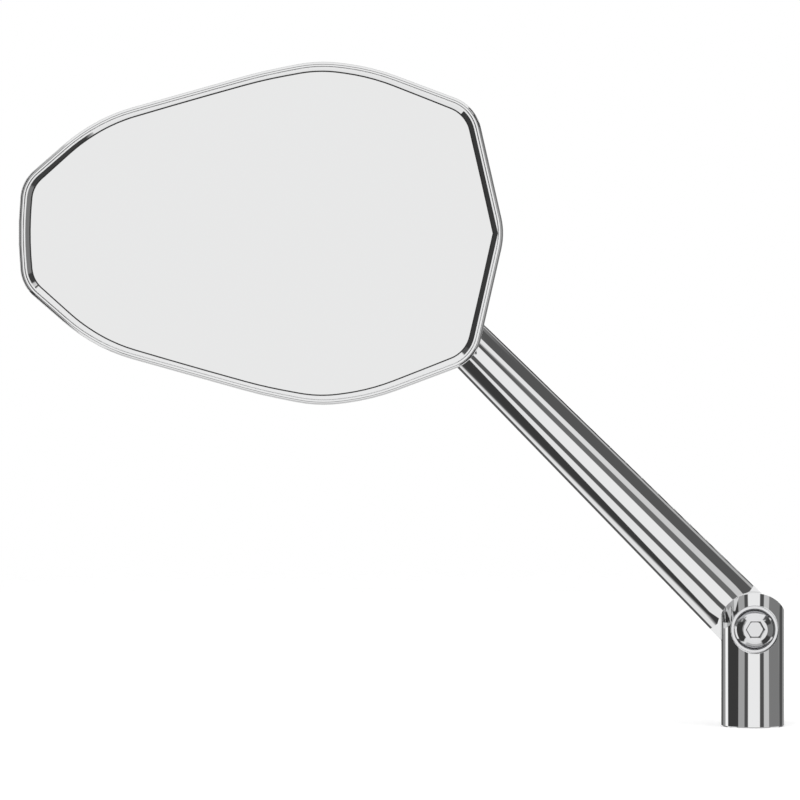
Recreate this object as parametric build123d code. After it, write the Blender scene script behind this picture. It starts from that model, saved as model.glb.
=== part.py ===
from build123d import *
import os
from math import cos, hypot, radians, sin

# Motorcycle mirror: a turned stub with a threaded foot, a half-lap swivel knuckle,
# a tapered stem, and a faceted head that turns on a ball stud.
# Millimetres. The origin is the centre of the stub's bottom face. +Z is up,
# +X is to the right and +Y is away from a person who looks into the glass.
# Depths called "front" are distances in front of the stub's axis, towards that person.

# Stub and knuckle
STUB_D = 16.0
PIVOT_Z = 25.0
LUG_R = 9.2
TONGUE_R = STUB_D / 2
TURN_GAP = 0.25
POCKET_GAP = 0.3
STEM_SHOULDER = 7.65
FOOT_CHAMFER = 0.3
THREAD_R = 4.4
THREAD_DEPTH = 10.0
THREAD_MOUTH = 0.4

# Pivot screw and its washers
SCREW_R = 3.0
PIN_GAP = 0.06
FRICTION_THICK = 0.5
FRICTION_MARGIN = 0.8
SPOT_R = 6.15
WASHER_R = 6.0
WASHER_BORE = 3.2
SPOT_DEPTH = 4.4
SPRING_THICK = 0.6
SPRING_RISE = 0.3
PIVOT_WASHER_THICK = 0.9
HEAD_R = 5.3
HEAD_HEIGHT = 3.3
HEAD_RIM = 0.5
HEAD_FLAT_R = 3.05
HEX_FLATS = 4.0
HEX_MOUTH = 0.15
HEX_DEPTH = 2.0
SCREW_COVER = 2.5

# Stem
STEM_LEAN = 45.0
STEM_LENGTH = 140.7
STEM_TIP_D = 11.3

# Ball stud
BALL_R = 6.0
BALL_FRONT = 18.5
NECK_R = 3.0
STUD_SEAT_FRONT = 3.2
STUD_SEAT_R = 4.5
COLLAR_R = 4.3
COLLAR_FLATS = 7.0
COLLAR_THICK = 2.4
LOCK_WASHER_THICK = 0.6
STUD_R = 3.0
STUD_END = -3.8
THREAD_GAP = 0.02

# Ball liners
BALL_GAP = 0.08
LINER_THICK = 0.9
REAR_LINER_FROM = 46.0
REAR_LINER_TO = 80.0
FRONT_LINER_FROM = 100.0

# Head outline, measured from the ball's axis: right tip, upper corners from right to left,
# left side. Each corner has its place to the right, its height and its radius.
# The lower half is the mirror image.
TIP = (35.5, 0.0, 17.8)
CORNERS = [
    (28.3, 31.6, 10.3),
    (2.7, 41.2, 56.0),
    (-10.6, 42.9, 34.0),
    (-24.7, 40.15, 125.0),
    (-62.4, 29.6, 42.5),
    (-71.0, 24.4, 46.0),
    (-84.15, 13.0, 9.8),
]
LEFT = (-85.4, 0.0, 92.0)

# Head shell
RIM_FRONT = 31.0
SIDE_BACK = 22.5
BACK_FRONT = 12.3
BACK_SHARE = 0.38
LIP = 1.1
LEDGE = 3.2
LEDGE_FRONT = 25.3
FLOOR = 1.9
SIDE_EDGE = 1.2
BACK_EDGE = 1.6
LIP_ROUND = 0.85
ROUND_STEPS = 3
EDGE_FALL = 0.3
OPENING_R = 5.2
BOSS_R = 10.2
PLATE_SEAT = 21.0
POST_R = 3.4
POST_PITCH = 13.0
POST_ANGLES = [90.0, 210.0, 330.0]

# Bezel, glass and what lies behind it
SEAM = 0.06
BEZEL_WALL = 0.6
BEZEL_TOP = 0.55
BEVEL_DEPTH = 1.7
BEVEL_SLOPE = 33.0
BEZEL_ROUND = 0.2
OPENING_TIP_R = 0.3
GLASS_RADIUS = 2400.0
GLASS_THICK = 2.0
GLASS_DROP = 0.2
GLASS_GAP = 0.1
GASKET_THICK = 0.25
GASKET_GAP = 0.02
GASKET_SHOW = 0.34
FOAM_THICK = 0.8
FOAM_MARGIN = 1.0
CARRIER_HOLE = 9.0

# Pressure plate and its screws
PLATE_THICK = 1.2
PLATE_SCREW_R = 1.5
PLATE_HEAD_R = 2.8
PLATE_HEAD_H = 1.6
PLATE_SCREW_END = 15.6
LOCK_R = 2.7
LOCK_THICK = 0.6
SLOT_WIDTH = 0.8

# Places that follow from the sizes above
STUB_R = STUB_D / 2
BALL_X = -STEM_LENGTH * sin(radians(STEM_LEAN))
BALL_Z = PIVOT_Z + STEM_LENGTH * cos(radians(STEM_LEAN))
SPOT_FRONT = STUB_R - SPOT_DEPTH
SCREW_END = SCREW_COVER - STUB_R
LAP = FRICTION_THICK / 2
LINER_IN = BALL_R + BALL_GAP
LINER_OUT = LINER_IN + LINER_THICK
SEAT_R = LINER_OUT + BALL_GAP
BEZEL_OUT = LIP + SEAM
BEZEL_IN = BEZEL_OUT + BEZEL_WALL
GLASS_IN = BEZEL_IN + GLASS_GAP
GLASS_X = BALL_X + (TIP[0] + LEFT[0]) / 2
PLATE_FRONT = PLATE_SEAT + PLATE_THICK
GLASS_APEX = RIM_FRONT - GLASS_DROP
BEVEL_FALL = sin(radians(BEVEL_SLOPE)) / cos(radians(BEVEL_SLOPE))
FRICTION_R = STUB_R - FRICTION_MARGIN


def at_front(front, x, z):
    return Plane.XZ.offset(front) * Pos(x, z)


def disc(front, thick, r, x=0.0, z=PIVOT_Z):
    return extrude(at_front(front, x, z) * Circle(r), amount=thick)


def turned(profile, x=0.0, z=PIVOT_Z):
    # Solid of revolution about a line towards the viewer; the profile is (radius, front) points.
    face = make_face(Polyline(*profile, close=True))
    solid = revolve(face, axis=Axis.Y)
    return Pos(x, 0, z) * Rot(180, 0, 0) * solid


def ball(r):
    return Pos(BALL_X, -BALL_FRONT, BALL_Z) * Sphere(r)


def glass_ball(r):
    centre = GLASS_RADIUS - GLASS_APEX
    return Pos(GLASS_X, centre, BALL_Z) * Sphere(r)


def on_stem(solid):
    return Pos(0, 0, PIVOT_Z) * Rot(0, -STEM_LEAN, 0) * solid


def post_places():
    places = []
    for angle in POST_ANGLES:
        px = BALL_X + POST_PITCH * cos(radians(angle))
        pz = BALL_Z + POST_PITCH * sin(radians(angle))
        places.append((px, pz))
    return places


def inset_corner(before, here, after, inset):
    # Move both edges that meet at a corner inwards and return their new crossing.
    ax, ay = here[0] - before[0], here[1] - before[1]
    bx, by = after[0] - here[0], after[1] - here[1]
    la, lb = hypot(ax, ay), hypot(bx, by)
    ax, ay, bx, by = ax / la, ay / la, bx / lb, by / lb
    p = (here[0] - ay * inset, here[1] + ax * inset)
    q = (here[0] - by * inset, here[1] + bx * inset)
    cross = ax * by - ay * bx
    t = ((q[0] - p[0]) * by - (q[1] - p[1]) * bx) / cross
    return (p[0] + ax * t, p[1] + ay * t)


def outline(inset=0.0, share=1.0, tip_r=None):
    upper = [(u, v, r) for u, v, r in CORNERS]
    lower = [(u, -v, r) for u, v, r in reversed(CORNERS)]
    corners = [TIP] + upper + [LEFT] + lower
    points = [(u * share, v * share) for u, v, r in corners]
    radii = [max(r * share - inset, 0.2) for u, v, r in corners]
    if tip_r is not None:
        radii[0] = tip_r
    count = len(points)
    moved = []
    for i in range(count):
        moved.append(inset_corner(points[i - 1], points[i], points[(i + 1) % count], inset))
    return make_face(FilletPolyline(*moved, radius=radii, close=True))


def head_slab(front, thick, inset, tip_r=None):
    return extrude(at_front(front, BALL_X, BALL_Z) * outline(inset, 1.0, tip_r), amount=thick)


def head_loft(*sections):
    placed = [at_front(front, BALL_X, BALL_Z) * face for front, face in sections]
    return loft(placed, ruled=True)


def round_edge(inset, radius):
    # Sections over a rounded front edge.
    sections = []
    for step in range(ROUND_STEPS + 1):
        angle = radians(90.0 * step / ROUND_STEPS)
        front = RIM_FRONT - radius * (1.0 - sin(angle))
        sections.append((front, outline(inset + radius * (1.0 - cos(angle)))))
    return sections


def facet(front):
    # The outline at a depth on the sloping back.
    slope = (SIDE_BACK - front) / (SIDE_BACK - BACK_FRONT)
    return outline(0.0, 1.0 - slope * (1.0 - BACK_SHARE))


def base_stub():
    top = PIVOT_Z + LUG_R
    body = Pos(0, 0, top / 2) * Cylinder(STUB_R, top)
    body = chamfer(body.edges().group_by(Axis.Z)[0], FOOT_CHAMFER)
    # The lug's end is round about the pivot.
    end = disc(-STUB_D, 2 * STUB_D, LUG_R)
    below = Pos(0, 0, PIVOT_Z / 2) * Box(STUB_D * 2, STUB_D * 2, PIVOT_Z)
    body = body & (end + below)
    # The back half is cut away for the stem's tongue.
    shoulder = PIVOT_Z - STUB_R - TURN_GAP
    back = Pos(0, STUB_R - LAP, shoulder + top / 2) * Box(STUB_D * 2, STUB_D, top)
    body -= back
    body -= disc(-STUB_D, STUB_D + LAP, TONGUE_R + POCKET_GAP)
    # Screw hole and flat seat for the washers.
    body -= disc(-STUB_D, STUB_D * 2, SCREW_R + PIN_GAP)
    body -= disc(SPOT_FRONT, STUB_D, SPOT_R)
    # Threaded hole in the foot with a drill point.
    r = THREAD_R
    profile = [(0, -1), (r + THREAD_MOUTH + 1, -1), (r, THREAD_MOUTH), (r, THREAD_DEPTH),
               (0, THREAD_DEPTH + r * 0.6)]
    face = make_face(Polyline(*[(x, 0, z) for x, z in profile], close=True))
    body -= revolve(face, axis=Axis.Z)
    return body


def pivot_friction_washer():
    return disc(-LAP, FRICTION_THICK, FRICTION_R) - disc(-STUB_D, STUB_D * 2, SCREW_R + PIN_GAP)


def pivot_disc_spring():
    low = SPOT_FRONT
    high = SPOT_FRONT + SPRING_RISE
    profile = [(WASHER_R - 0.2, low), (WASHER_R - 0.2, low + SPRING_THICK),
               (WASHER_BORE, high + SPRING_THICK), (WASHER_BORE, high)]
    return turned(profile)


def pivot_washer():
    front = SPOT_FRONT + SPRING_RISE + SPRING_THICK
    body = disc(front, PIVOT_WASHER_THICK, WASHER_R)
    body = chamfer(body.edges().group_by(Axis.Y)[0], 0.12)
    return body - disc(-STUB_D, STUB_D * 2, WASHER_BORE)


def pivot_screw():
    seat = SPOT_FRONT + SPRING_RISE + SPRING_THICK + PIVOT_WASHER_THICK
    top = seat + HEAD_HEIGHT
    # Domed head: an arc from the rim to the flat round the hexagon.
    mid_r = HEAD_FLAT_R + (HEAD_R - HEAD_FLAT_R) * 0.63
    mid_f = seat + HEAD_RIM + (HEAD_HEIGHT - HEAD_RIM) * 0.58
    lines = [
        Line((0, SCREW_END), (SCREW_R - 0.6, SCREW_END)),
        Line((SCREW_R - 0.6, SCREW_END), (SCREW_R, SCREW_END + 0.6)),
        Line((SCREW_R, SCREW_END + 0.6), (SCREW_R, seat)),
        Line((SCREW_R, seat), (HEAD_R, seat)),
        Line((HEAD_R, seat), (HEAD_R, seat + HEAD_RIM)),
        ThreePointArc((HEAD_R, seat + HEAD_RIM), (mid_r, mid_f), (HEAD_FLAT_R, top)),
        Line((HEAD_FLAT_R, top), (0, top)),
        Line((0, top), (0, SCREW_END)),
    ]
    solid = revolve(make_face(Curve(lines)), axis=Axis.Y)
    body = Pos(0, 0, PIVOT_Z) * Rot(180, 0, 0) * solid
    hexagon = RegularPolygon(HEX_FLATS / 2, 6, major_radius=False)
    wide = RegularPolygon(HEX_FLATS / 2 + HEX_MOUTH, 6, major_radius=False)
    body -= extrude(at_front(top - HEX_DEPTH, 0, PIVOT_Z) * hexagon, amount=HEX_DEPTH)
    mouth = [at_front(top - HEX_MOUTH, 0, PIVOT_Z) * hexagon, at_front(top, 0, PIVOT_Z) * wide]
    return body - loft(mouth, ruled=True)


def stem():
    tip_r = STEM_TIP_D / 2
    # In its own frame the stem runs up +Z from the pivot.
    shaft = Pos(0, 0, STEM_LENGTH / 2) * Cone(STUB_R, tip_r, STEM_LENGTH)
    shaft += Pos(0, 0, STEM_LENGTH) * Sphere(tip_r)
    root = Pos(0, 0, -LUG_R / 2) * Cylinder(STUB_R, LUG_R)
    round_end = Rot(90, 0, 0) * Cylinder(TONGUE_R, STUB_D * 2)
    shaft += root & round_end
    # The front half is cut away for the stub's lug.
    reach = LUG_R + 2
    front = Pos(0, LAP - STUB_R, STEM_SHOULDER - reach) * Box(STUB_D * 2, STUB_D, reach * 2)
    shaft -= front
    shaft -= Pos(0, LAP - STUB_R, 0) * Rot(90, 0, 0) * Cylinder(LUG_R + POCKET_GAP, STUB_D)
    body = on_stem(shaft)
    # Tapped holes for the pivot screw and the ball stud, and the stud's flat seat.
    body -= disc(SCREW_END - 0.6, STUB_D, SCREW_R + THREAD_GAP)
    body -= disc(STUD_SEAT_FRONT, STUB_D, STUD_SEAT_R, BALL_X, BALL_Z)
    body -= disc(STUD_END - 0.4, STUB_D, STUD_R + THREAD_GAP, BALL_X, BALL_Z)
    return body


def stud_lock_washer():
    ring = disc(STUD_SEAT_FRONT, LOCK_WASHER_THICK, COLLAR_R, BALL_X, BALL_Z)
    return ring - disc(-STUB_D, STUB_D * 2, STUD_R + PIN_GAP, BALL_X, BALL_Z)


def ball_stud():
    start = STUD_SEAT_FRONT + LOCK_WASHER_THICK
    shank = disc(STUD_END, start - STUD_END, STUD_R, BALL_X, BALL_Z)
    shank = chamfer(shank.edges().group_by(Axis.Y)[-1], 0.5)
    collar = disc(start, COLLAR_THICK, COLLAR_R, BALL_X, BALL_Z)
    collar = chamfer(collar.edges().group_by(Axis.Y)[0], 0.4)
    # Two flats for a spanner.
    flats = Pos(BALL_X, 0, BALL_Z) * Rot(0, -STEM_LEAN, 0) * Box(COLLAR_FLATS, STUB_D * 4, STUB_D)
    neck = disc(start, BALL_FRONT - start, NECK_R, BALL_X, BALL_Z)
    return shank + (collar & flats) + neck + ball(BALL_R)


def liner(angle_from, angle_to):
    # Zone of a hollow ball between two angles from the rear pole.
    outer = CenterArc((0, 0), LINER_OUT, 90 - angle_to, angle_to - angle_from)
    inner = CenterArc((0, 0), LINER_IN, 90 - angle_to, angle_to - angle_from)
    a = Line(outer @ 0, inner @ 0)
    b = Line(inner @ 1, outer @ 1)
    zone = revolve(make_face(Curve([outer, a, inner, b])), axis=Axis.Y)
    return Pos(BALL_X, -BALL_FRONT, BALL_Z) * zone


def rear_ball_liner():
    return liner(REAR_LINER_FROM, REAR_LINER_TO)


def front_ball_liner():
    return liner(FRONT_LINER_FROM, 180.0)


def head_shell():
    # Sections from the flat of the back, over the facets and the side wall, to the rounded lip.
    outer = head_loft(
        (BACK_FRONT, outline(BACK_EDGE, BACK_SHARE)),
        (BACK_FRONT + BACK_EDGE * EDGE_FALL, facet(BACK_FRONT + BACK_EDGE * EDGE_FALL)),
        (SIDE_BACK - SIDE_EDGE * EDGE_FALL, facet(SIDE_BACK - SIDE_EDGE * EDGE_FALL)),
        (SIDE_BACK + SIDE_EDGE, outline()),
        *round_edge(0.0, LIP_ROUND),
    )
    # Hollow: the mouth for the bezel, a ledge, and the faceted inside.
    mouth = head_slab(LEDGE_FRONT, RIM_FRONT, LIP)
    waist_front = SIDE_BACK + FLOOR * 0.4
    waist = head_slab(waist_front, RIM_FRONT, LEDGE)
    floor = head_loft((waist_front, outline(LEDGE)), (BACK_FRONT + FLOOR, outline(FLOOR, BACK_SHARE)))
    hollow = mouth + waist + floor
    # Socket boss and screw posts stand inside.
    boss = disc(BACK_FRONT, PLATE_SEAT - BACK_FRONT, BOSS_R, BALL_X, BALL_Z)
    for px, pz in post_places():
        boss += disc(BACK_FRONT, PLATE_SEAT - BACK_FRONT, POST_R, px, pz)
    body = outer - (hollow - boss)
    body -= ball(SEAT_R)
    body -= disc(BALL_FRONT, RIM_FRONT, SEAT_R, BALL_X, BALL_Z)
    body -= disc(0, BALL_FRONT, OPENING_R, BALL_X, BALL_Z)
    for px, pz in post_places():
        body -= disc(PLATE_SCREW_END - 0.4, RIM_FRONT, PLATE_SCREW_R + THREAD_GAP, px, pz)
    return body


def opening(shift=0.0):
    # The bevelled opening that narrows to the glass, with a sharp corner at the tip.
    top = BEZEL_OUT + BEZEL_TOP + shift
    reach = BEVEL_DEPTH / BEVEL_FALL
    return head_loft((RIM_FRONT - BEVEL_DEPTH, outline(top + reach, 1.0, OPENING_TIP_R)),
                     (RIM_FRONT, outline(top, 1.0, OPENING_TIP_R)))


def bezel_ring():
    body = head_loft(
        (LEDGE_FRONT, outline(BEZEL_OUT)),
        *round_edge(BEZEL_OUT, BEZEL_ROUND),
    )
    pocket = head_slab(LEDGE_FRONT, RIM_FRONT - LEDGE_FRONT, BEZEL_IN)
    body -= pocket & glass_ball(GLASS_RADIUS + GASKET_THICK + GASKET_GAP)
    return body - opening()


def mirror_glass():
    body = head_slab(LEDGE_FRONT, RIM_FRONT + 1 - LEDGE_FRONT, GLASS_IN)
    return (body & glass_ball(GLASS_RADIUS)) - glass_ball(GLASS_RADIUS - GLASS_THICK)


def glass_edge_gasket():
    ring = head_slab(LEDGE_FRONT, RIM_FRONT - LEDGE_FRONT, GLASS_IN)
    ring = (ring & glass_ball(GLASS_RADIUS + GASKET_THICK)) - glass_ball(GLASS_RADIUS)
    # Its thin edge shows between the bezel and the glass.
    return ring - opening(GASKET_SHOW - (GASKET_THICK + GASKET_GAP) / BEVEL_FALL)


def foam_pad():
    body = head_slab(LEDGE_FRONT, RIM_FRONT - LEDGE_FRONT, GLASS_IN + FOAM_MARGIN)
    back = GLASS_RADIUS - GLASS_THICK
    return (body & glass_ball(back)) - glass_ball(back - FOAM_THICK)


def carrier_plate():
    body = head_slab(LEDGE_FRONT, RIM_FRONT - LEDGE_FRONT, GLASS_IN)
    body = body & glass_ball(GLASS_RADIUS - GLASS_THICK - FOAM_THICK)
    return body - disc(0, RIM_FRONT * 2, CARRIER_HOLE, BALL_X, BALL_Z)


def pressure_plate():
    face = Circle(BOSS_R)
    for px, pz in post_places():
        face += Pos(px - BALL_X, pz - BALL_Z) * Circle(POST_R)
    body = extrude(at_front(PLATE_SEAT, BALL_X, BALL_Z) * face, amount=PLATE_THICK)
    body -= ball(SEAT_R)
    for px, pz in post_places():
        body -= disc(0, RIM_FRONT, PLATE_SCREW_R + PIN_GAP, px, pz)
    return body


def plate_spring_washers():
    rings = []
    for px, pz in post_places():
        ring = disc(PLATE_FRONT, LOCK_THICK, LOCK_R, px, pz)
        ring -= disc(0, RIM_FRONT, PLATE_SCREW_R + PIN_GAP, px, pz)
        rings.append(ring - Pos(px + LOCK_R, -PLATE_FRONT, pz) * Box(LOCK_R * 2, 4, 0.4))
    return Compound(children=rings)


def plate_screws():
    screws = []
    seat = PLATE_FRONT + LOCK_THICK
    for px, pz in post_places():
        shank = disc(PLATE_SCREW_END, seat - PLATE_SCREW_END, PLATE_SCREW_R, px, pz)
        head = disc(seat, PLATE_HEAD_H, PLATE_HEAD_R, px, pz)
        head = chamfer(head.edges().group_by(Axis.Y)[0], 0.5)
        slot = Pos(px, -seat - PLATE_HEAD_H, pz)
        head -= slot * Box(PLATE_HEAD_R * 1.2, 2, SLOT_WIDTH)
        head -= slot * Box(SLOT_WIDTH, 2, PLATE_HEAD_R * 1.2)
        screws.append(shank + head)
    return Compound(children=screws)


PIECES = [
    base_stub, pivot_friction_washer, pivot_disc_spring, pivot_washer, pivot_screw,
    stem, stud_lock_washer, ball_stud, rear_ball_liner, front_ball_liner,
    head_shell, bezel_ring, mirror_glass, glass_edge_gasket, foam_pad,
    carrier_plate, pressure_plate, plate_spring_washers, plate_screws,
]

os.makedirs("parts", exist_ok=True)
for piece in PIECES:
    export_step(piece(), "parts/" + piece.__name__ + ".step")
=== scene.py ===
from math import acos, ceil, cos, degrees, radians, sin, tan
from typing import NamedTuple

import bmesh
import bpy
from mathutils import Matrix, Vector


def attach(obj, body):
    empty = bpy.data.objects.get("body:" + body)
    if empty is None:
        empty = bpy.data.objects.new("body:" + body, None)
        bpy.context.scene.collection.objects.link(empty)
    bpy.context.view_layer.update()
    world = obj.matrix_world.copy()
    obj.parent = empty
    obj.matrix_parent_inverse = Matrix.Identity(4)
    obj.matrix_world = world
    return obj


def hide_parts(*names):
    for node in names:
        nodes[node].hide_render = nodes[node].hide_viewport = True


# A chrome motorcycle mirror on a white studio sweep. Metres, in the part's own frame:
# the origin is the centre of the stub's foot, +Z is up and the glass faces -Y.

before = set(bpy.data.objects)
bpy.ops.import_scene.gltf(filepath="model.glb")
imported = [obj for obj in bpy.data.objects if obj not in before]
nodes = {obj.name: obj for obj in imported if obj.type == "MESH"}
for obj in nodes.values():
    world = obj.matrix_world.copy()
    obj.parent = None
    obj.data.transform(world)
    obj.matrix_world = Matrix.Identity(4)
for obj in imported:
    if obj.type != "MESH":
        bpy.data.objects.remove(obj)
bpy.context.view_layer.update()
scene = bpy.context.scene
scene.view_settings.view_transform = "Standard"

MM = 0.001
DEGREES = degrees(1.0)
HALF_TURN = 180.0
WHITE = (1.0, 1.0, 1.0, 1.0)
# Places of the inputs A and B and of the result among a Mix node's sockets.
MIX_SOCKETS = {"FLOAT": (2, 3, 0), "RGBA": (6, 7, 2)}

# Camera: a long lens far in front of the glass, looking level past the middle of the part.
CAMERA_PLACE = Vector((-0.090, -1.021, 0.0832))
CAMERA_LENS_MM = 180.0
CAMERA_SENSOR_MM = 36.0
CAMERA_CLIP_START = 0.01

# Two softboxes that light the floor and the matt pieces. The metal shows the studio instead.
LAMP_TARGET = (-0.08, 0.0, 0.08)
LAMP_SIZE = 1.2
KEY_PLACE = (-0.7, -0.9, 1.3)
KEY_WATTS = 12.0
FILL_PLACE = (0.9, -0.5, 0.9)
FILL_WATTS = 6.0

# Floor of white paper. It fades out between two shares of its radius.
FLOOR_RADIUS = 1.2
FLOOR_SIDES = 96
FLOOR_COLOUR = (0.90, 0.90, 0.90, 1.0)
FLOOR_ROUGHNESS = 0.9
FLOOR_LIFT = 0.25
FLOOR_FADE_START = 0.25
FLOOR_FADE_END = 0.8

# Studio seen in the metal, in degrees away from the front of the glass:
# where each ring of softboxes and flags starts, and how bright it is.
STUDIO_RINGS = [
    (0.0, 1.0),      # softbox round the camera
    (21.0, 0.09),    # black flags
    (36.0, 0.65),    # side softboxes
    (58.0, 0.10),    # dark studio walls
    (106.0, 0.95),   # strip lights behind the object
    (134.0, 0.28),   # back wall
    (163.0, 1.0),    # white backdrop straight behind the object
]
RING_EDGE_DEG = 2.5
PANEL_EDGE_DEG = 2.0


class Panel(NamedTuple):
    # A panel hung in front of the rings: from and to in degrees away from the front, the side
    # it hangs on, how bright it is, how far its two edges slant for each degree of turn, and
    # over how many degrees they fade.
    start: float
    end: float
    side: tuple
    level: float
    start_slant: float = 0.0
    end_slant: float = 0.0
    soft: float = 2.5


# Sides of the studio: the way a panel hangs (0 right, 90 up) and half its spread, in degrees.
LEFT = (180.0, 35.0)
RIGHT = (0.0, 25.0)
ABOVE = (90.0, 42.0)
BELOW = (270.0, 42.0)
UPPER_RIGHT = (40.0, 7.0)
UPPER_RIGHT_END = (47.0, 3.0)
RIGHT_OF_SOFTBOX = (27.0, 10.0)
LOWER_RIGHT = (316.0, 16.0)
LOWER_LEFT = (228.0, 13.0)

# A later panel hangs in front of an earlier one.
STUDIO_PANELS = [
    Panel(34.0, 58.0, LEFT, 0.42),                              # softbox, turned down
    Panel(58.0, 106.0, LEFT, 0.05),                             # wall
    Panel(106.0, 122.0, LEFT, 1.10),                            # strip light
    Panel(122.0, 140.0, LEFT, 0.35),                            # its stand
    Panel(140.0, 170.0, LEFT, 0.12),                            # back wall
    Panel(57.0, 110.0, RIGHT, 0.23),                            # wall
    Panel(110.0, 134.0, RIGHT, 0.09),                           # flag
    Panel(134.0, 156.0, RIGHT, 0.34),                           # back wall
    Panel(36.0, 110.0, ABOVE, 1.0),                             # ceiling softbox
    Panel(36.0, 76.0, BELOW, 0.95),                             # bounce board
    Panel(76.0, 110.0, BELOW, 0.55),                            # pale ground
    Panel(22.5, 43.5, UPPER_RIGHT, 0.17, -0.5, -0.3),           # flag
    Panel(43.5, 71.5, UPPER_RIGHT, 0.70, -0.3, -1.9),           # softbox
    Panel(41.0, 58.0, UPPER_RIGHT_END, 0.95, -0.3, -1.9),       # its brighter end
    Panel(71.5, 122.0, UPPER_RIGHT, 0.11, -1.9, 1.7),           # wall
    Panel(122.0, 144.0, UPPER_RIGHT, 0.50, 1.7),                # strip light
    Panel(144.0, 177.0, UPPER_RIGHT, 0.06),                     # back wall
    Panel(44.0, 100.0, RIGHT_OF_SOFTBOX, 0.06),                 # flag
    Panel(44.0, 100.0, LOWER_RIGHT, 0.06),                      # flag
    Panel(19.5, 35.5, LOWER_LEFT, 0.11, -0.4, -0.8),            # flag
    Panel(35.5, 72.0, LOWER_LEFT, 0.94, -0.8, 4.5),             # softbox
    Panel(72.0, 130.0, LOWER_LEFT, 0.05, 4.5),                  # wall
    Panel(88.0, 130.0, LOWER_LEFT, 0.10, -1.0, soft=20.0),      # its brighter end
    Panel(93.0, 145.0, LOWER_LEFT, 0.93, -3.1, soft=16.0),      # strip light
    Panel(131.0, 172.0, LOWER_LEFT, 0.10, 0.3, soft=5.0),       # back wall
]


class Finish(NamedTuple):
    # A material and the nodes that have it: its darkest and palest colour, 1 for a metal,
    # its range of roughness, how fine its grain is, how much the grain stands out, and
    # whether its corners are darkened by painted shade.
    name: str
    nodes: list
    dark: tuple
    pale: tuple
    metallic: float
    rough: tuple
    grain: float
    bump: float = 0.0
    shaded_corners: bool = False


FINISHES = [
    Finish("chrome_plate", ["base_stub", "stem", "head_shell", "bezel_ring"],
           (0.795, 0.797, 0.80), (0.815, 0.817, 0.82), 1.0, (0.012, 0.03), 180.0),
    # Polished steel is darkened by painted shade in its corners, including the screw's hex recess.
    Finish("polished_steel", ["pivot_screw", "pivot_washer", "ball_stud"],
           (0.70, 0.70, 0.71), (0.78, 0.78, 0.79), 1.0, (0.06, 0.14), 900.0, shaded_corners=True),
    Finish("zinc_steel", ["pivot_disc_spring", "stud_lock_washer", "pressure_plate", "plate_screws",
                          "plate_spring_washers"],
           (0.48, 0.48, 0.47), (0.60, 0.60, 0.58), 1.0, (0.28, 0.42), 1400.0, 0.2),
    Finish("acetal", ["pivot_friction_washer", "rear_ball_liner", "front_ball_liner"],
           (0.80, 0.80, 0.77), (0.86, 0.86, 0.83), 0.0, (0.35, 0.5), 900.0, 0.1),
    Finish("silvered_glass", ["mirror_glass"],
           (0.804, 0.806, 0.806), (0.81, 0.812, 0.812), 1.0, (0.0, 0.004), 60.0),
    Finish("rubber", ["glass_edge_gasket"],
           (0.012, 0.012, 0.012), (0.03, 0.03, 0.03), 0.0, (0.5, 0.7), 1600.0, 0.3),
    Finish("foam", ["foam_pad"],
           (0.03, 0.03, 0.03), (0.07, 0.07, 0.07), 0.0, (0.8, 0.95), 2600.0, 0.8),
    Finish("moulded_plastic", ["carrier_plate"],
           (0.03, 0.03, 0.03), (0.05, 0.05, 0.05), 0.0, (0.4, 0.6), 1800.0, 0.3),
]
SHELL_FINISH = "chrome_plate"

# Grain: most values of a noise lie between these two, and colours vary over broader spots.
NOISE_LOW = 0.3
NOISE_HIGH = 0.7
FINE_DETAIL = 4.0
BROAD_DETAIL = 2.0
BROAD_SHARE = 0.12
BUMP_DEPTH = 0.0001

# Painted shade in corners: how near a wall has to be, and how open a corner is when it is fully shaded
# or free of shade.
SHADE_REACH = 0.0005
SHADE_SAMPLES = 8
SHADE_FULL = 0.55
SHADE_NONE = 0.85
SHADE_COLOUR = (0.03, 0.03, 0.03, 1.0)

# Head shell in millimetres, as in the solid: corners measured right and up from the ball's
# axis, each with its radius, and depths (FRONT, BACK) measured forward from the stub's axis.
# The lower half of the outline mirrors the upper corners.
HEAD_CENTRE = Vector((-99.49, 0.0, 124.49))
HEAD_TIP = (35.5, 0.0, 17.8)
HEAD_CORNERS = [
    (28.3, 31.6, 10.3),
    (2.7, 41.2, 56.0),
    (-10.6, 42.9, 34.0),
    (-24.7, 40.15, 125.0),
    (-62.4, 29.6, 42.5),
    (-71.0, 24.4, 46.0),
    (-84.15, 13.0, 9.8),
]
HEAD_LEFT = (-85.4, 0.0, 92.0)
RIM_FRONT = 31.0
SIDE_BACK = 22.5
BACK_FRONT = 12.3
BACK_SHARE = 0.38
BACK_EDGE = 1.6
SIDE_EDGE = 1.2
EDGE_FALL = 0.3
LIP = 1.1
LIP_ROUND = 0.85
LEDGE = 3.2
LEDGE_FRONT = 25.3
FLOOR_THICK = 1.9
WAIST_SHARE = 0.4
OPENING_R = 5.2
OPENING_BREAK = 0.15
BOSS_R = 10.2
BOSS_FRONT = 21.0
SEAT_R = 7.06
BALL_FRONT = 18.5
POST_R = 3.4
POST_PITCH = 13.0
POST_ANGLES = (90.0, 210.0, 330.0)
POST_ROOT_SHARE = 0.6
POST_HOLE_R = 1.52
POST_HOLE_END = 15.2
POST_SIDES = 32
SMALLEST_R = 0.2
ARC_STEP_DEG = 4.0
RING_STEP_DEG = 6.0
EDGE_STEPS = 5
LIP_STEPS = 8
SHELL_SHARP_DEG = 35.0

# Smooth shading of CAD meshes, and the greatest weight that flat faces can have in it.
MERGE_DISTANCE = 0.000002
SHARP_DEG = 31.5
FLAT_WEIGHT = 100


def grey(level):
    return (level, level, level, 1.0)


def link(tree, output, socket):
    tree.links.new(output, socket)


def feed(tree, value, socket):
    # An output of another node is linked to the socket, a plain value is set on it.
    if isinstance(value, bpy.types.NodeSocket):
        link(tree, value, socket)
    else:
        socket.default_value = value


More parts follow.
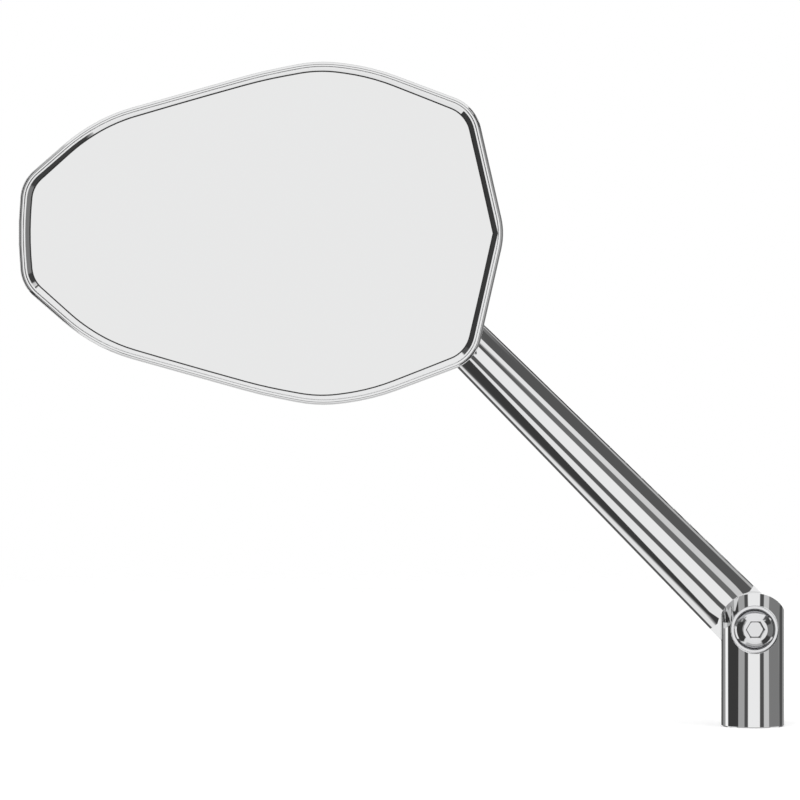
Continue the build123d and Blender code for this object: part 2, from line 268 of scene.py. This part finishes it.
def math_node(tree, operation, *values):
    node = tree.nodes.new("ShaderNodeMath")
    node.operation = operation
    for value, socket in zip(values, node.inputs):
        feed(tree, value, socket)
    return node.outputs[0]


def weighted_sum(tree, a, weight_a, b, weight_b):
    return math_node(tree, "ADD", math_node(tree, "MULTIPLY", a, weight_a),
                     math_node(tree, "MULTIPLY", b, weight_b))


def smooth_step(tree, value, low, high):
    node = tree.nodes.new("ShaderNodeMapRange")
    node.interpolation_type = "SMOOTHSTEP"
    link(tree, value, node.inputs["Value"])
    node.inputs["From Min"].default_value = low
    node.inputs["From Max"].default_value = high
    return node.outputs["Result"]


def mix(tree, kind, factor, a, b):
    node = tree.nodes.new("ShaderNodeMix")
    node.data_type = kind
    first, second, result = MIX_SOCKETS[kind]
    link(tree, factor, node.inputs[0])
    feed(tree, a, node.inputs[first])
    feed(tree, b, node.inputs[second])
    return node.outputs[result]


def seen_directly(tree):
    # 1 for what the camera sees by itself or through clear material, 0 in reflections and for light.
    rays = tree.nodes.new("ShaderNodeLightPath")
    return math_node(tree, "MAXIMUM", rays.outputs["Is Camera Ray"], rays.outputs["Is Transmission Ray"])


def ring_level(tree, away):
    # Brightness of the ring in this direction, with a short ramp from each ring to the next.
    ramp = tree.nodes.new("ShaderNodeValToRGB")
    ramp.color_ramp.interpolation = "LINEAR"
    link(tree, math_node(tree, "DIVIDE", away, HALF_TURN), ramp.inputs[0])
    stops = ramp.color_ramp.elements
    while len(stops) > 1:
        stops.remove(stops[-1])
    level_before = STUDIO_RINGS[0][1]
    stops[0].position = 0.0
    stops[0].color = grey(level_before)
    for start, level in STUDIO_RINGS[1:]:
        for angle, value in ((start, level_before), (start + RING_EDGE_DEG, level)):
            stops.new(angle / HALF_TURN).color = grey(value)
        level_before = level
    return ramp.outputs[0]


def panel_mask(tree, x, z, away, panel):
    # 1 where the panel covers this direction, 0 where it doesn't.
    way, half = panel.side
    right, up = cos(radians(way)), sin(radians(way))
    along = weighted_sum(tree, x, right, z, up)
    aside = weighted_sum(tree, z, right, x, -up)
    turned = math_node(tree, "MULTIPLY", math_node(tree, "ARCTAN2", aside, along), DEGREES)
    spread = math_node(tree, "ABSOLUTE", turned)
    mask = smooth_step(tree, spread, half + PANEL_EDGE_DEG, half - PANEL_EDGE_DEG)
    for slant, clear, full in ((panel.start_slant, panel.start, panel.start + panel.soft),
                               (panel.end_slant, panel.end + panel.soft, panel.end)):
        place = math_node(tree, "SUBTRACT", away, math_node(tree, "MULTIPLY", turned, slant))
        mask = math_node(tree, "MULTIPLY", mask, smooth_step(tree, place, clear, full))
    return mask


def studio_world():
    world = bpy.data.worlds.new("studio")
    scene.world = world
    world.use_nodes = True
    tree = world.node_tree
    tree.nodes.clear()
    coords = tree.nodes.new("ShaderNodeTexCoord")
    axes = tree.nodes.new("ShaderNodeSeparateXYZ")
    link(tree, coords.outputs["Generated"], axes.inputs[0])
    x, y, z = axes.outputs
    # Degrees away from the front of the glass.
    front = math_node(tree, "MULTIPLY", y, -1.0)
    away = math_node(tree, "MULTIPLY", math_node(tree, "ARCCOSINE", front), DEGREES)
    level = ring_level(tree, away)
    for panel in STUDIO_PANELS:
        level = mix(tree, "FLOAT", panel_mask(tree, x, z, away, panel), level, panel.level)
    # The camera sees the white backdrop alone, the metal sees it with the studio in front of it.
    level = mix(tree, "FLOAT", seen_directly(tree), level, 1.0)
    background = tree.nodes.new("ShaderNodeBackground")
    background.inputs["Color"].default_value = WHITE
    link(tree, level, background.inputs["Strength"])
    output = tree.nodes.new("ShaderNodeOutputWorld")
    link(tree, background.outputs[0], output.inputs[0])


def new_material(name):
    material = bpy.data.materials.new(name)
    material.use_nodes = True
    tree = material.node_tree
    shader = tree.nodes["Principled BSDF"]
    return material, tree, shader


def noise(tree, scale, detail):
    coords = tree.nodes.new("ShaderNodeTexCoord")
    node = tree.nodes.new("ShaderNodeTexNoise")
    node.inputs["Scale"].default_value = scale
    node.inputs["Detail"].default_value = detail
    link(tree, coords.outputs["Object"], node.inputs["Vector"])
    return node.outputs["Fac"]


def ranged(tree, value, low, high):
    node = tree.nodes.new("ShaderNodeMapRange")
    link(tree, value, node.inputs["Value"])
    node.inputs["From Min"].default_value = NOISE_LOW
    node.inputs["From Max"].default_value = NOISE_HIGH
    node.inputs["To Min"].default_value = low
    node.inputs["To Max"].default_value = high
    return node.outputs["Result"]


def with_painted_shade(tree, colour):
    # Painted shade: corners, where little light gets in, are turned near black.
    open_air = tree.nodes.new("ShaderNodeAmbientOcclusion")
    open_air.samples = SHADE_SAMPLES
    open_air.only_local = True
    open_air.inputs["Distance"].default_value = SHADE_REACH
    unshaded = smooth_step(tree, open_air.outputs["AO"], SHADE_FULL, SHADE_NONE)
    return mix(tree, "RGBA", unshaded, SHADE_COLOUR, colour)


def surface(finish):
    # A material whose colour and gloss vary a little over the surface.
    material, tree, shader = new_material(finish.name)
    shader.inputs["Metallic"].default_value = finish.metallic
    fine = noise(tree, finish.grain, FINE_DETAIL)
    broad = noise(tree, finish.grain * BROAD_SHARE, BROAD_DETAIL)
    colour = mix(tree, "RGBA", broad, finish.dark + (1.0,), finish.pale + (1.0,))
    # Painted shade darkens the corners of this finish.
    if finish.shaded_corners:
        colour = with_painted_shade(tree, colour)
    link(tree, colour, shader.inputs["Base Color"])
    link(tree, ranged(tree, fine, *finish.rough), shader.inputs["Roughness"])
    if finish.bump:
        node = tree.nodes.new("ShaderNodeBump")
        node.inputs["Strength"].default_value = finish.bump
        node.inputs["Distance"].default_value = BUMP_DEPTH
        link(tree, fine, node.inputs["Height"])
        link(tree, node.outputs[0], shader.inputs["Normal"])
    return material


def dress():
    materials = {finish.name: surface(finish) for finish in FINISHES}
    for finish in FINISHES:
        for name in finish.nodes:
            nodes[name].data.materials.clear()
            nodes[name].data.materials.append(materials[finish.name])
    return materials


def head_arcs(inset=0.0, share=1.0):
    # The rounded corners of the head's outline, moved inwards or scaled about the ball.
    lower = [(u, -v, r) for u, v, r in reversed(HEAD_CORNERS)]
    corners = [HEAD_TIP] + HEAD_CORNERS + [HEAD_LEFT] + lower
    places = [Vector((u * share, v * share)) for u, v, r in corners]
    count = len(places)
    arcs = []
    for i in range(count):
        here = places[i]
        coming = (here - places[i - 1]).normalized()
        going = (places[(i + 1) % count] - here).normalized()
        bend = -coming.angle_signed(going)
        half_bend = tan(bend / 2.0)
        radius = max(corners[i][2] * share - inset, SMALLEST_R)
        inward = Vector((-coming.y, coming.x))
        # The crossing of the two moved edges, then the arc that rounds it.
        crossing = here + inward * inset - coming * (inset * half_bend)
        first = crossing - coming * (radius * half_bend)
        middle = first + inward * radius
        steps = max(2, ceil(degrees(bend) / ARC_STEP_DEG))
        turns = [Matrix.Rotation(bend * step / steps, 2) for step in range(steps + 1)]
        arcs.append([middle + turn @ (first - middle) for turn in turns])
    return arcs


def head_loop(front, inset=0.0, share=1.0):
    # The outline as points at one depth, with enough of them along the straight sides
    # that circles drawn to match it come out round.
    plain, arcs = head_arcs(), head_arcs(inset, share)
    points = []
    for i, arc in enumerate(arcs):
        span = degrees(plain[i - 1][-1].angle(plain[i][0]))
        steps = max(1, ceil(span / RING_STEP_DEG))
        points += [arcs[i - 1][-1].lerp(arc[0], step / steps) for step in range(1, steps)]
        points += arc
    return [Vector((point.x, -front, point.y)) for point in points]


def ring_loop(front, radius, like):
    # A circle about the ball's axis with its points in the same directions as another loop's.
    points = []
    for point in like:
        way = Vector((point.x, point.z)).normalized() * radius
        points.append(Vector((way.x, -front, way.y)))
    return points


def eased(first, corner, last):
    # Loops that round the edge between two faces which would meet at a corner.
    loops = []
    for step in range(EDGE_STEPS + 1):
        t = step / EDGE_STEPS
        loops.append([a * (1 - t) ** 2 + b * (2 * t * (1 - t)) + c * t * t
                      for a, b, c in zip(first, corner, last)])
    return loops


def sloping_back(front):
    # The outline where the facets of the back have come to this depth.
    slope = (SIDE_BACK - front) / (SIDE_BACK - BACK_FRONT)
    return head_loop(front, 0.0, 1.0 - slope * (1.0 - BACK_SHARE))


def lip_loops():
    # Up the side and round the lip to its front.
    loops = []
    for step in range(LIP_STEPS + 1):
        angle = radians(90.0 * step / LIP_STEPS)
        front = RIM_FRONT - LIP_ROUND * (1.0 - sin(angle))
        loops.append(head_loop(front, LIP_ROUND * (1.0 - cos(angle))))
    return loops


def seat_loops(like):
    # From the mouth of the ball's seat down to its opening in the back.
    loops = []
    widest = degrees(acos(OPENING_R / SEAT_R))
    for step in range(EDGE_STEPS):
        angle = radians(widest * step / EDGE_STEPS)
        loops.append(ring_loop(BALL_FRONT - SEAT_R * sin(angle), SEAT_R * cos(angle), like))
    return loops


def shell_loops():
    # Closed section of the shell: opening, back, facets, side, lip, mouth, inside and ball seat.
    flat = head_loop(BACK_FRONT, BACK_EDGE, BACK_SHARE)
    seat_back = BALL_FRONT - (SEAT_R ** 2 - OPENING_R ** 2) ** 0.5
    floor_front = BACK_FRONT + FLOOR_THICK
    waist_front = SIDE_BACK + FLOOR_THICK * WAIST_SHARE
    loops = [ring_loop(seat_back, OPENING_R, flat),
             ring_loop(BACK_FRONT + OPENING_BREAK, OPENING_R, flat),
             ring_loop(BACK_FRONT, OPENING_R + OPENING_BREAK, flat)]
    loops += eased(flat, head_loop(BACK_FRONT, 0.0, BACK_SHARE),
                   sloping_back(BACK_FRONT + BACK_EDGE * EDGE_FALL))
    loops += eased(sloping_back(SIDE_BACK - SIDE_EDGE * EDGE_FALL), head_loop(SIDE_BACK),
                   head_loop(SIDE_BACK + SIDE_EDGE))
    loops += lip_loops()
    loops += [head_loop(RIM_FRONT, LIP), head_loop(LEDGE_FRONT, LIP), head_loop(LEDGE_FRONT, LEDGE),
              head_loop(waist_front, LEDGE), head_loop(floor_front, FLOOR_THICK, BACK_SHARE),
              ring_loop(floor_front, BOSS_R, flat), ring_loop(BOSS_FRONT, BOSS_R, flat),
              ring_loop(BOSS_FRONT, SEAT_R, flat)]
    loops += seat_loops(flat)
    return loops


def bands(first, count, loops):
    # Faces between pairs of loops with the same count of points.
    faces = []
    for here, there in loops:
        a, b = first + here * count, first + there * count
        faces += [(a + j, a + (j + 1) % count, b + (j + 1) % count, b + j) for j in range(count)]
    return faces


def post_loops(angle):
    # One screw post: up its side, over its end and down the blind hole.
    middle = Vector((cos(radians(angle)), 0.0, sin(radians(angle)))) * POST_PITCH
    root_front = BACK_FRONT + FLOOR_THICK * POST_ROOT_SHARE
    ways = [radians(360.0 * j / POST_SIDES) for j in range(POST_SIDES)]
    loops = []
    for front, radius in ((root_front, POST_R), (BOSS_FRONT, POST_R),
                          (BOSS_FRONT, POST_HOLE_R), (POST_HOLE_END, POST_HOLE_R)):
        loops.append([middle + Vector((cos(way) * radius, -front, sin(way) * radius)) for way in ways])
    return loops


def shell_mesh():
    loops = shell_loops()
    faces = bands(0, len(loops[0]), [(i, (i + 1) % len(loops)) for i in range(len(loops))])
    points = [point for loop in loops for point in loop]
    for angle in POST_ANGLES:
        first = len(points)
        points += [point for loop in post_loops(angle) for point in loop]
        faces += bands(first, POST_SIDES, [(0, 1), (1, 2), (2, 3)])
        root_end = tuple(range(first, first + POST_SIDES))
        hole_end = tuple(range(len(points) - POST_SIDES, len(points)))
        faces += [root_end, hole_end]
    mesh = bpy.data.meshes.new("chrome_shell")
    mesh.from_pydata([(point + HEAD_CENTRE) * MM for point in points], [], faces)
    build = bmesh.new()
    build.from_mesh(mesh)
    bmesh.ops.recalc_face_normals(build, faces=build.faces)
    build.to_mesh(mesh)
    build.free()
    mesh.polygons.foreach_set("use_smooth", [True] * len(mesh.polygons))
    mesh.set_sharp_from_angle(angle=radians(SHELL_SHARP_DEG))
    return mesh


def flat_faces_first(obj):
    # Large flat faces keep their own direction, and small ones at their edges shade towards them.
    weigh = obj.modifiers.new("flat_faces_first", "WEIGHTED_NORMAL")
    weigh.mode = "FACE_AREA"
    weigh.weight = FLAT_WEIGHT
    weigh.keep_sharp = True


def head_shell(material):
    # The head shell swept with even faces, so that its chrome shows no streaks.
    mesh = shell_mesh()
    mesh.materials.append(material)
    shell = bpy.data.objects.new("chrome_shell", mesh)
    scene.collection.objects.link(shell)
    flat_faces_first(shell)
    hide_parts("head_shell")
    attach(shell, "head")


def soft_shading_group():
    # Joins the corners of neighbouring faces and shades across every edge but the sharp ones.
    group = bpy.data.node_groups.new("soft_shading", "GeometryNodeTree")
    for way in ("INPUT", "OUTPUT"):
        group.interface.new_socket("Geometry", in_out=way, socket_type="NodeSocketGeometry")
    start = group.nodes.new("NodeGroupInput")
    merge = group.nodes.new("GeometryNodeMergeByDistance")
    merge.inputs["Distance"].default_value = MERGE_DISTANCE
    plain = group.nodes.new("GeometryNodeRemoveAttribute")
    plain.inputs["Name"].default_value = "custom_normal"
    smooth = group.nodes.new("GeometryNodeSetShadeSmooth")
    smooth.domain = "FACE"
    crease = group.nodes.new("GeometryNodeSetShadeSmooth")
    crease.domain = "EDGE"
    crease.inputs["Shade Smooth"].default_value = False
    angle = group.nodes.new("GeometryNodeInputMeshEdgeAngle")
    sharp = math_node(group, "GREATER_THAN", angle.outputs["Unsigned Angle"], radians(SHARP_DEG))
    link(group, sharp, crease.inputs["Selection"])
    end = group.nodes.new("NodeGroupOutput")
    chain = [start, merge, plain, smooth, crease, end]
    for before, after in zip(chain, chain[1:]):
        link(group, before.outputs[0], after.inputs[0])
    return group


def soften(*names):
    group = soft_shading_group()
    for name in names:
        shade = nodes[name].modifiers.new("soft_shading", "NODES")
        shade.node_group = group


def paper():
    material, tree, shader = new_material("floor_paper")
    shader.inputs["Base Color"].default_value = FLOOR_COLOUR
    shader.inputs["Roughness"].default_value = FLOOR_ROUGHNESS
    # To the camera the paper is as white as the wall behind it, apart from the shadow.
    lift = tree.nodes.new("ShaderNodeEmission")
    lift.inputs["Color"].default_value = WHITE
    link(tree, math_node(tree, "MULTIPLY", seen_directly(tree), FLOOR_LIFT), lift.inputs["Strength"])
    lifted = tree.nodes.new("ShaderNodeAddShader")
    link(tree, shader.outputs[0], lifted.inputs[0])
    link(tree, lift.outputs[0], lifted.inputs[1])
    # It fades into the white round it.
    coords = tree.nodes.new("ShaderNodeTexCoord")
    length = tree.nodes.new("ShaderNodeVectorMath")
    length.operation = "LENGTH"
    link(tree, coords.outputs["Object"], length.inputs[0])
    fade = smooth_step(tree, length.outputs["Value"], FLOOR_RADIUS * FLOOR_FADE_START,
                       FLOOR_RADIUS * FLOOR_FADE_END)
    clear = tree.nodes.new("ShaderNodeBsdfTransparent")
    faded = tree.nodes.new("ShaderNodeMixShader")
    link(tree, fade, faded.inputs[0])
    link(tree, lifted.outputs[0], faded.inputs[1])
    link(tree, clear.outputs[0], faded.inputs[2])
    link(tree, faded.outputs[0], tree.nodes["Material Output"].inputs["Surface"])
    return material


def floor():
    bpy.ops.mesh.primitive_circle_add(vertices=FLOOR_SIDES, radius=FLOOR_RADIUS, fill_type="NGON")
    disc = bpy.context.object
    disc.name = "studio_floor"
    disc.visible_glossy = False
    disc.data.materials.append(paper())


def lamp(name, place, watts):
    data = bpy.data.lights.new(name, "AREA")
    data.size = LAMP_SIZE
    data.energy = watts
    obj = bpy.data.objects.new(name, data)
    obj.location = place
    obj.rotation_euler = (Vector(LAMP_TARGET) - Vector(place)).to_track_quat("-Z", "Y").to_euler()
    obj.visible_glossy = False
    scene.collection.objects.link(obj)


def camera():
    data = bpy.data.cameras.new("photo_camera")
    data.lens = CAMERA_LENS_MM
    data.sensor_width = CAMERA_SENSOR_MM
    data.clip_start = CAMERA_CLIP_START
    obj = bpy.data.objects.new("photo_camera", data)
    obj.location = CAMERA_PLACE
    # A quarter turn about X looks level along +Y.
    obj.rotation_euler = (radians(90.0), 0.0, 0.0)
    scene.collection.objects.link(obj)
    scene.camera = obj


studio_world()
materials = dress()
head_shell(materials[SHELL_FINISH])
soften("bezel_ring", "stem")
flat_faces_first(nodes["bezel_ring"])
floor()
lamp("key_softbox", KEY_PLACE, KEY_WATTS)
lamp("fill_softbox", FILL_PLACE, FILL_WATTS)
camera()
